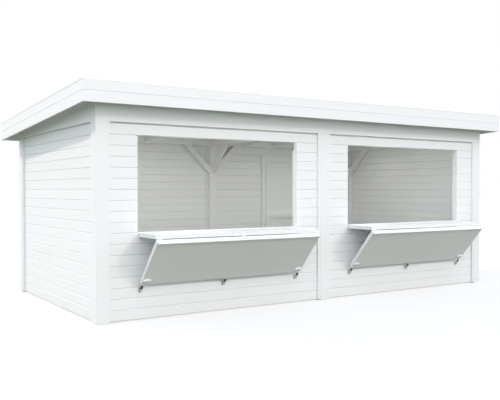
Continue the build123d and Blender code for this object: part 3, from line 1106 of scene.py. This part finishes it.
@dataclass(frozen=True)
class WallCatch:
    """Catches under the open flaps: foot plate, leaning arm with a rubber pad, and barrel."""

    half: float = 0.017
    arm_half: float = 0.014
    plate: float = 0.003
    plate_height: float = 0.052
    plate_corner: float = 0.005
    plate_ease: float = 0.0006
    screw_drop: float = 0.010
    screw_reach: float = 0.009
    arm: float = 0.008
    arm_ease: float = 0.001
    foot: float = 0.020
    barrel: float = 0.006
    barrel_ease: float = 0.0012
    barrel_sides: int = 20
    pad: float = 0.0015
    pad_half: float = 0.0165
    pad_ease: float = 0.0008
    pad_start: float = 0.42
    pad_end: float = 0.93
    from_side: float = 0.019

    def foot_plate(self, front: float, wall: float, foot: float) -> list[Object]:
        """Model the plate on the wall and its two screws.

        Args:
            front: Y of the plate's face.
            wall: Y of the wall.
            foot: Level of the plate's lower edge.

        Returns:
            The plate and the screws.
        """
        top = foot + self.plate_height
        plate = bench.block("plate", (-self.half, front, foot), (self.half, wall, top))
        bench.bevel(plate, self.plate_corner, 3, lies_along(Way.Y))
        bench.bevel(plate, self.plate_ease, 1, lies_at(Way.Y, front))
        spots = [facing((x, front, top - self.screw_drop), -Way.Y.vector)
                 for x in (-self.screw_reach, self.screw_reach)]
        return [plate, *bench.copies(SMALL_SCREW.template(), spots)]

    def build(self) -> None:
        """Model and dress the six catches."""
        low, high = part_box("flap_catches")
        wall, foot, top = high.y, low.z, high.z - self.barrel
        plate_front, front = wall - self.plate, wall - self.foot
        knee = foot + self.arm
        tip = low.y + self.barrel - self.arm / 2
        plate, *heads = self.foot_plate(plate_front, wall, foot)
        shoe = bench.block("shoe", (-self.arm_half, front, foot), (self.arm_half, plate_front, knee))
        arm = bench.block("arm", (-self.arm_half, front, knee), (self.arm_half, front + self.arm, top))
        bench.select(arm, Element.FACE, faces_to(Way.Z.vector))
        bpy.ops.transform.translate(value=(0, tip - front, 0))
        bench.clear()
        for part in (shoe, arm):
            bench.bevel(part, self.arm_ease, 2)

        lean = Vector((0.0, tip - front, top - knee))
        out = Vector((0.0, -lean.z, lean.y)).normalized()
        start, end = (Vector((0.0, front, knee)) + lean * share for share in (self.pad_start, self.pad_end))
        corner = Vector((self.pad_half, (end - start).length, self.pad))
        pad = bench.bevel(bench.block("pad", (-corner.x, 0.0, -corner.z), corner), self.pad_ease, 2)
        pads = bench.copies(pad, [axes(-Way.X.vector, lean.normalized(), out, start)])
        ends = [(x, tip + self.arm / 2, top) for x in (-self.half, self.half)]
        barrel = bench.rod("barrel", *ends, self.barrel, self.barrel_sides)
        bench.bevel(barrel, self.barrel_ease, 2, lies_across(Way.X))

        places = [Matrix.Translation((x, 0.0, 0.0)) for x in self.spots()]
        sets = (("catch_plates", [plate, shoe, arm, *heads], ZINC, "catch_metal"),
                ("catch_pads", pads, PAD_RUBBER, "catch_metal"),
                ("catch_barrels", [barrel], WHITE_COAT, "white_metal"))
        for name, parts, finish, slot in sets:
            piece = bench.join(name, bench.copies(bench.join("catch", parts), places))
            dress(bench.smooth(piece), "building", finish, slot, "flap_catches")

    def spots(self) -> list[float]:
        """Return the middle of each catch along the front."""
        found = []
        for side in Side:
            low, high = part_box(f"{side.value}_counter")
            reach = (high.x - low.x) / 2 - self.from_side
            found += [(low.x + high.x) / 2 + step * reach for step in (-1, 0, 1)]
        return found


@dataclass(frozen=True)
class StrapHinge:
    """Strap hinges on the door's outer face, with domed bolts and the screws of their plates."""

    knuckle: float = 0.007
    knuckle_sides: int = 20
    thickness: float = 0.0025
    length: float = 0.26
    half: float = 0.015
    taper: float = 0.55
    ease: float = 0.0008
    bolt_reaches: tuple[float, ...] = (0.045, 0.110, 0.175, 0.235)
    bolt_radius: float = 0.006
    bolt_height: float = 0.003
    bolt_sunk: float = 0.001
    bolt_dome: float = 0.0022
    bolt_sides: int = 14
    plate_reach: float = 0.022
    plate_rises: tuple[float, ...] = (-0.034, 0.0, 0.034)

    def build(self, axis: Vector, levels: list[float]) -> None:
        """Model and dress the straps and their screws.

        Args:
            axis: Point on the hinge line, its Y on the boards' face.
            levels: Heights of the hinges.
        """
        straps = []
        face = axis.y + self.thickness
        for level in levels:
            low, high = level - self.half, level + self.half
            strap = bench.block("strap", (axis.x, axis.y, low), (axis.x + self.length, face, high))
            bench.select(strap, Element.FACE, faces_to(Way.X.vector))
            bpy.ops.transform.resize(value=(1, 1, self.taper))
            bench.clear()
            bench.bevel(strap, self.ease)
            pivot = (axis.x, axis.y + self.knuckle)
            knuckle = bench.rod("knuckle", (*pivot, low), (*pivot, high), self.knuckle, self.knuckle_sides)
            bench.bevel(knuckle, self.ease, 1, lies_across(Way.Z))
            bolts = bench.copies(self.bolt(), [
                facing((axis.x + reach, face, level), Way.Y.vector) for reach in self.bolt_reaches])
            straps += [strap, knuckle, *bolts]
        piece = bench.smooth(bench.join("door_straps", straps))
        dress(piece, "door", WHITE_COAT, "white_metal", "door_leaf")
        places = [facing((axis.x - self.plate_reach, face, level + rise), Way.Y.vector)
                  for level in levels for rise in self.plate_rises]
        Screw().row("door_frame_screws", "building", places, WHITE_COAT, "white_metal")

    def bolt(self) -> Object:
        """Model one domed bolt head round the origin, its top towards +Z."""
        ends = (0, 0, -self.bolt_sunk), (0, 0, self.bolt_height)
        head = bench.rod("bolt", *ends, self.bolt_radius, self.bolt_sides)
        return bench.bevel(head, self.bolt_dome, 3, lies_at(Way.Z, self.bolt_height))


@dataclass(frozen=True)
class LeverHandle:
    """Lever handles on both faces of the door, each with a plate, a lock and two screws."""

    standoff: float = 0.050
    half: float = 0.018
    plate: float = 0.003
    plate_corner: float = 0.012
    plate_ease: float = 0.0008
    axis_rise: float = 0.002
    reach: float = 0.042
    neck: float = 0.0065
    rose: float = 0.013
    rose_reach: float = 0.010
    rose_ease: float = 0.002
    round_sides: int = 20
    lever: float = 0.0078
    lever_heel: float = 0.008
    lever_ease: float = 0.003
    lever_tip: float = 0.8
    lock: float = 0.0085
    lock_drop: float = 0.040
    lock_reach: float = 0.006
    lock_ease: float = 0.001
    keyway_half: float = 0.0012
    keyway_rise: float = 0.006
    keyway_proud: float = 0.0002
    screw_rise: float = 0.062

    def parts(self, low: Vector, high: Vector, face: float, sign: int) -> list[Object]:
        """Model the handle of one face.

        Args:
            low: Lowest corner of both handles.
            high: Highest corner of both handles.
            face: Y of the door's face.
            sign: 1 outside, -1 inside.

        Returns:
            The handle's parts.
        """
        def out(reach: float) -> float:
            """Return the Y of a point that stands off the door's face."""
            return face + sign * reach
        middle, level = high.x - self.half, (low.z + high.z) / 2
        axis, lock_level = level + self.axis_rise, level - self.lock_drop
        near, far = sorted((face, out(self.plate)))
        plate = bench.block("plate", (middle - self.half, near, low.z), (high.x, far, high.z))
        bench.bevel(plate, self.plate_corner, 5, lies_along(Way.Y))
        bench.bevel(plate, self.plate_ease, 1, lies_at(Way.Y, out(self.plate)))
        neck = bench.rod("neck", (middle, face, axis), (middle, out(self.reach), axis), self.neck)
        rose = bench.rod("rose", (middle, face, axis), (middle, out(self.rose_reach), axis), self.rose,
                         self.round_sides)
        bench.bevel(rose, self.rose_ease, 2, lies_across(Way.Y))
        lever = bench.rod("lever", (middle + self.lever_heel, out(self.reach), axis),
                          (low.x, out(self.reach), axis), self.lever)
        bench.bevel(lever, self.lever_ease, 3, lies_across(Way.X))
        bench.select(lever, Element.FACE, faces_to(-Way.X.vector))
        bpy.ops.transform.resize(value=(1.0, self.lever_tip, self.lever_tip))
        bench.clear()
        lock = bench.rod("lock", (middle, face, lock_level), (middle, out(self.lock_reach), lock_level),
                         self.lock, self.round_sides)
        bench.bevel(lock, self.lock_ease, 1, lies_across(Way.Y))
        near, far = sorted((face, out(self.lock_reach + self.keyway_proud)))
        keyway = bench.block("keyway", (middle - self.keyway_half, near, lock_level - self.keyway_rise),
                             (middle + self.keyway_half, far, lock_level + self.keyway_rise))
        spots = [facing((middle, out(self.plate), level + rise), (0, sign, 0))
                 for rise in (self.screw_rise, -self.screw_rise)]
        return [plate, neck, rose, lever, lock, keyway, *bench.copies(SMALL_SCREW.template(), spots)]

    def build(self) -> None:
        """Model and dress both handles."""
        low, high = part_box("door_handle")
        outside = self.parts(low, high, high.y - self.standoff, 1)
        inside = self.parts(low, high, low.y + self.standoff, -1)
        levers = bench.smooth(bench.join("door_levers", outside + inside))
        dress(levers, "door", HANDLE_STEEL, "handle_metal", "door_handle")


@dataclass(frozen=True)
class BackDoor:
    """Framed board door at the back: boards outside, stiles and rails inside, hinges and handles."""

    boards: int = 8
    thickness: float = 0.028
    skin: float = 0.016
    frame_depth: float = 0.022
    frame_ease: float = 0.003
    sheet_ease: float = 0.0015
    stile_inset: float = 0.026
    stile: float = 0.050
    rail: float = 0.100
    top_rail: float = 0.068
    middle_level: float = 0.960
    under_head: float = 0.028
    bottom_lift: float = 0.026
    hinge_gap: float = 0.003
    screw_rise: float = 0.022
    behind_straps: int = 3
    seed: float = 300.0
    board: TongueBoard = TongueBoard(ease=0.003, cheek=0.004, tongue=0.006)
    hinge: StrapHinge = StrapHinge()
    handle: LeverHandle = LeverHandle()

    def rails(self) -> list[tuple[float, float]]:
        """Return the lowest and highest level of each rail, from the bottom."""
        low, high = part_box("door_leaf")
        bottom, top = low.z + self.bottom_lift, high.z - self.under_head
        half = self.rail / 2
        return [(bottom, bottom + self.rail), (self.middle_level - half, self.middle_level + half),
                (top - self.top_rail, top)]

    def build(self) -> None:
        """Model and dress the leaf, its hinges and its handles."""
        low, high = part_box("door_leaf")
        outer = high.y - 2 * self.hinge.knuckle
        axis_x = low.x + self.hinge.knuckle
        left, right = axis_x + self.hinge_gap, high.x
        pitch = (right - left) / self.boards
        paint = PaintedTimber("door_paint", Way.Z, Way.X, pitch, left, self.seed)
        self.leaf(Vector((left, outer - self.thickness, low.z)), Vector((right, outer, high.z)), paint)
        middles = [(bottom + top) / 2 for bottom, top in self.rails()]
        self.hinge.build(Vector((axis_x, outer, 0.0)), [middles[0], middles[-1]])
        places = [facing((left + pitch * (number + 0.5), outer, level + rise), Way.Y.vector)
                  for number in range(self.boards) for level in middles
                  for rise in (-self.screw_rise, self.screw_rise)
                  if number >= self.behind_straps or level == middles[1]]
        SMALL_SCREW.row("door_board_screws", "door", places, paint, "painted_door")
        self.handle.build()

    def leaf(self, low: Vector, high: Vector, paint: Finish) -> None:
        """Model and dress the boards, the sheet behind them and the inner frame.

        Args:
            low: Lowest corner of the slab.
            high: Highest corner of the slab.
            paint: Paint of the boards.
        """
        pitch = (high.x - low.x) / self.boards
        split = high.y - self.skin
        plank = self.board.make((low.x, split, low.z), (low.x + pitch, high.y, high.z), Way.Z, Way.X)
        planks = bench.repeat(plank, self.boards, Way.X.vector * pitch)
        dress(bench.join("door_boards", [planks]), "door", paint, "painted_door", "door_leaf")

        inner = low.y - self.frame_depth
        rails = self.rails()
        start, end = low.x + self.stile_inset, high.x - self.stile_inset
        bottom, top = rails[0][0], rails[-1][1]
        blocks = [(start, bottom, start + self.stile, top), (end - self.stile, bottom, end, top)]
        blocks += [(start + self.stile, foot, end - self.stile, head) for foot, head in rails]
        parts = [bench.bevel(bench.block("sheet", low, (high.x, split, high.z)), self.sheet_ease)]
        for x0, z0, x1, z1 in blocks:
            member = bench.block("member", (x0, inner, z0), (x1, low.y, z1))
            parts.append(bench.bevel(member, self.frame_ease, 2, lies_at(Way.Y, inner)))
        frame_inside = bench.smooth(bench.join("door_frame_inside", parts))
        dress(frame_inside, "door", UPRIGHT_PAINT, "painted_door", "door_leaf")


@dataclass(frozen=True)
class RoofEdge:
    """Laps in the roof's rubber sheet, and the fascias' screws."""

    laps: int = 4
    lap_width: float = 0.050
    lap_height: float = 0.0018
    lap_ease: float = 0.0012
    lap_margin: float = 0.045
    sheet: float = 0.003
    fascia: float = 0.230
    screw_gap: float = 0.62
    screw_margin: float = 0.05
    screw_rises: tuple[float, ...] = (0.030, 0.085, 0.145, 0.200)

    def fall(self) -> float:
        """Return the fall of the roof in each metre towards the back."""
        low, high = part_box("left_fascia")
        return (high.z - low.z - self.fascia) / (high.y - low.y)

    def build(self) -> None:
        """Model and dress the laps and the screws."""
        low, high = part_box("roof_covering")
        deck_low, deck_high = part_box("roof_deck")
        front, back = low.y + self.lap_margin, high.y - self.lap_margin
        surface = deck_high.z + self.sheet - self.fall() * (front - deck_low.y)
        top = surface + self.lap_height
        strips = []
        for number in range(self.laps):
            x = low.x + (high.x - low.x) * (number + 1) / (self.laps + 1)
            half = self.lap_width / 2
            strip = bench.block("lap", (x - half, front, surface), (x + half, back, top))
            bench.bevel(strip, self.lap_ease, 2, lies_at(Way.Z, top))
            strips.append(bench.rotate(strip, -degrees(atan(self.fall())), Way.X, (x, front, surface)))
        dress(bench.join("roof_laps", strips), "building", ROOF_SHEET, "roof_sheet")
        FLUSH_SCREW.row("fascia_screws", "building", self.screws(), LONG_FASCIA_PAINT, "fascia_paint")

    def screws(self) -> Iterator[Matrix]:
        """Yield the place of each screw in the four fascias."""
        for side, normal in (("front", -Way.Y.vector), ("back", Way.Y.vector), ("left", -Way.X.vector),
                             ("right", Way.X.vector)):
            low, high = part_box(f"{side}_fascia")
            outer = high if sum(normal) > 0 else low
            level = abs(normal.y) > NEAR
            start, end = (low.x, high.x) if level else (low.y, high.y)
            for spot in spaced(start + self.screw_margin, end - self.screw_margin, self.screw_gap):
                bottom = low.z if level else high.z - self.fascia - (spot - low.y) * self.fall()
                for rise in self.screw_rises:
                    x, y = (spot, outer.y) if level else (outer.x, spot)
                    yield facing((x, y, bottom + rise), normal)


@dataclass(frozen=True)
class BattenScrews:
    """Screws of the upright battens beside the posts."""

    batten: float = 0.036
    screw_gap: float = 0.40
    end_margin: float = 0.08

    def build(self) -> None:
        """Model and dress the screws."""
        FLUSH_SCREW.row("batten_screws", "building", self.places(), UPRIGHT_PAINT, "painted_trim")

    def places(self) -> Iterator[Matrix]:
        """Yield the place of each screw, on the front and back battens and then on the side ones."""
        low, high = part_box("corner_battens")
        half = self.batten / 2
        heights = list(spaced(low.z + self.end_margin, high.z - self.end_margin, self.screw_gap))
        for wall in ("front_wall_left", "front_wall_right"):
            wall_low, wall_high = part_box(wall)
            for x in (wall_low.x + half, wall_high.x - half):
                for z in heights:
                    yield facing((x, low.y, z), -Way.Y.vector)
                    yield facing((x, high.y, z), Way.Y.vector)
        wall_low, wall_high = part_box("left_wall")
        for y in (wall_low.y + half, wall_high.y - half):
            for z in heights:
                yield facing((low.x, y, z), -Way.X.vector)
                yield facing((high.x, y, z), Way.X.vector)


class LampKind(Enum):
    """Sort of lamp."""

    SUN = "SUN"
    AREA = "AREA"
    POINT = "POINT"


def hang(kind: LampKind, name: str, power: float, tint: Colour) -> Object:
    """Add a lamp at the origin.

    Args:
        kind: Sort of lamp.
        name: Name of the lamp.
        power: Its strength.
        tint: Its colour.

    Returns:
        The lamp.
    """
    light = bpy.data.lights.new(name, kind.value)
    light.energy = power
    light.color = tint
    lamp = bpy.data.objects.new(name, light)
    bpy.context.scene.collection.objects.link(lamp)
    return lamp


@dataclass(frozen=True)
class Sun:
    """One soft sun."""

    name: str
    direction: Place
    strength: float
    spread: float
    tint: Colour

    def build(self) -> None:
        """Add the sun, shining in its direction."""
        lamp = hang(LampKind.SUN, self.name, self.strength, self.tint)
        lamp.data.angle = radians(self.spread)
        lamp.rotation_mode = "QUATERNION"
        lamp.rotation_quaternion = Vector(self.direction).to_track_quat("-Z", "Y")


@dataclass(frozen=True)
class Studio:
    """Floor, background, lights and camera."""

    sky: float = 1.0
    sky_tint: Colour = (0.705, 0.845, 1.0)
    floor_size: float = 120.0
    floor_drop: float = 0.0005
    floor_paper: tuple[Colour, Colour] = ((0.90, 0.90, 0.90), (0.88, 0.88, 0.88))
    floor_glow: float = 0.55
    floor_bounce: Colour = (0.114, 0.136, 0.084)
    ceiling_powers: tuple[float, float] = (5.2, 3.6)
    ceiling_size: tuple[float, float] = (2.4, 0.5)
    ceiling_place: tuple[float, float] = (0.55, 2.02)
    globe_powers: tuple[float, float] = (20.2, 13.8)
    globe_radius: float = 0.4
    globe_place: tuple[float, float] = (-0.5, 1.58)
    room_tint: Colour = (1.0, 0.99, 0.935)
    camera_place: Place = (-5.504, -8.001, 1.3869)
    turn: float = 33.277
    tilt: float = 0.842
    lens: float = 49.20
    sensor: float = 36.0
    suns: tuple[Sun, ...] = (
        Sun("sun_left", (1.0, -1.25, -1.28), 1.97, 2.5, (1.0, 0.835, 0.73)),
        Sun("sun_right", (-0.54, 1.0, -0.63), 0.60, 8.0, (1.0, 0.82, 0.82)),
        Sun("fill_left", (1.0, 0.05, -0.25), 0.80, 90.0, WHITE),
        Sun("fill_front", (0.1, 1.0, -0.5), 1.55, 90.0, (1.0, 0.90, 0.78)),
    )

    def build(self) -> None:
        """Set up the studio."""
        self.floor()
        self.background()
        for sun in self.suns:
            sun.build()
        for side, ceiling_power, globe_power in zip(Side, self.ceiling_powers, self.globe_powers):
            self.room(side, ceiling_power, globe_power)
        self.camera()

    def floor(self) -> None:
        """Lay a pale floor that shows as white and keeps the shadow."""
        bench.clear()
        bpy.ops.mesh.primitive_plane_add(size=self.floor_size, location=(0.0, 0.0, -self.floor_drop))
        ground = bench.settle(bpy.context.object)
        ground.name = "studio_floor"
        shader = Shader("floor_paper")
        fleck = shader.noise(EVEN, 90.0, 2.0)
        shader.finish(shader.mix(*self.floor_paper, fleck), 0.9)
        dim = shader.node("ShaderNodeBsdfDiffuse", {}, {"Color": self.floor_bounce})
        glow = shader.node("ShaderNodeEmission", {}, {"Color": WHITE, "Strength": 1.0})
        white = shader.blend(shader.surface, glow, self.floor_glow)
        both = shader.blend(dim, white, shader.seen())
        shader.feed(shader.output.inputs["Surface"], both.outputs[0])
        ground.data.materials.append(shader.material)
        ground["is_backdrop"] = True

    def background(self) -> None:
        """Light from all round, with plain white behind the kiosk."""
        world = bpy.data.worlds.new("studio_world")
        bpy.context.scene.world = world
        nodes = NodeTree(world)
        sky = nodes.node("ShaderNodeBackground", {}, {"Color": self.sky_tint, "Strength": self.sky})
        white = nodes.node("ShaderNodeBackground", {}, {"Color": WHITE, "Strength": 1.0})
        both = nodes.blend(sky, white, nodes.seen())
        nodes.node("ShaderNodeOutputWorld", {}, {"Surface": both.outputs[0]})

    def room(self, side: Side, ceiling_power: float, globe_power: float) -> None:
        """Hang a soft lamp under the roof of a bay, and a globe at the height of a head.

        Both hang at the middle of the bay's length, at the Y and the Z of their places.

        Args:
            side: The bay.
            ceiling_power: Strength of the lamp under the roof.
            globe_power: Strength of the globe.
        """
        low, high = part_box(f"front_wall_{side.value}")
        ceiling = hang(LampKind.AREA, f"ceiling_{side.value}", ceiling_power, self.room_tint)
        ceiling.data.shape = "RECTANGLE"
        ceiling.data.size, ceiling.data.size_y = self.ceiling_size
        globe = hang(LampKind.POINT, f"room_{side.value}", globe_power, self.room_tint)
        globe.data.shadow_soft_size = self.globe_radius
        for lamp, place in ((ceiling, self.ceiling_place), (globe, self.globe_place)):
            lamp.location = ((low.x + high.x) / 2, *place)
            lamp.visible_camera = False

    def camera(self) -> None:
        """Put the camera where the photograph was taken from."""
        data = bpy.data.cameras.new("camera")
        data.lens = self.lens
        data.sensor_width = self.sensor
        camera = bpy.data.objects.new("camera", data)
        camera.location = self.camera_place
        camera.rotation_euler = (radians(90.0 - self.tilt), 0.0, -radians(self.turn))
        bpy.context.scene.collection.objects.link(camera)
        bpy.context.scene.camera = camera


class Assembly(Protocol):
    """What every sub-assembly has: a method that models and dresses it."""

    def build(self) -> None:
        """Model and dress the sub-assembly."""


def main() -> None:
    """Build the whole dressed kiosk and its studio."""
    logging.basicConfig(level=logging.INFO, format="%(name)s: %(message)s")
    bpy.context.scene.view_settings.view_transform = "Standard"
    assemblies: list[Assembly] = [
        Cladding("front_wall_left", Way.X, 11.0, Opening()),
        Cladding("front_wall_right", Way.X, 47.0, Opening()),
        Cladding("back_wall_left", Way.X, 83.0),
        Cladding("back_wall_beside_door_left", Way.X, 119.0),
        Cladding("back_wall_beside_door_right", Way.X, 153.0),
        Cladding("back_wall_over_door", Way.X, 187.0),
        Cladding("left_wall", Way.Y, 223.0),
        Cladding("right_wall", Way.Y, 259.0),
        CeilingBoards(), Hatch(Side.LEFT), Hatch(Side.RIGHT), WallCatch(), BackDoor(), RoofEdge(),
        BattenScrews(),
    ]
    for assembly in assemblies:
        assembly.build()
    wardrobe.dress_nodes()
    Studio().build()
    bench.clear()

    boxes = {"cad": cad_box, "visual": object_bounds()}
    {name: [list(corner) for corner in box] for name, box in boxes.items()}


if __name__ == "__main__":
    main()
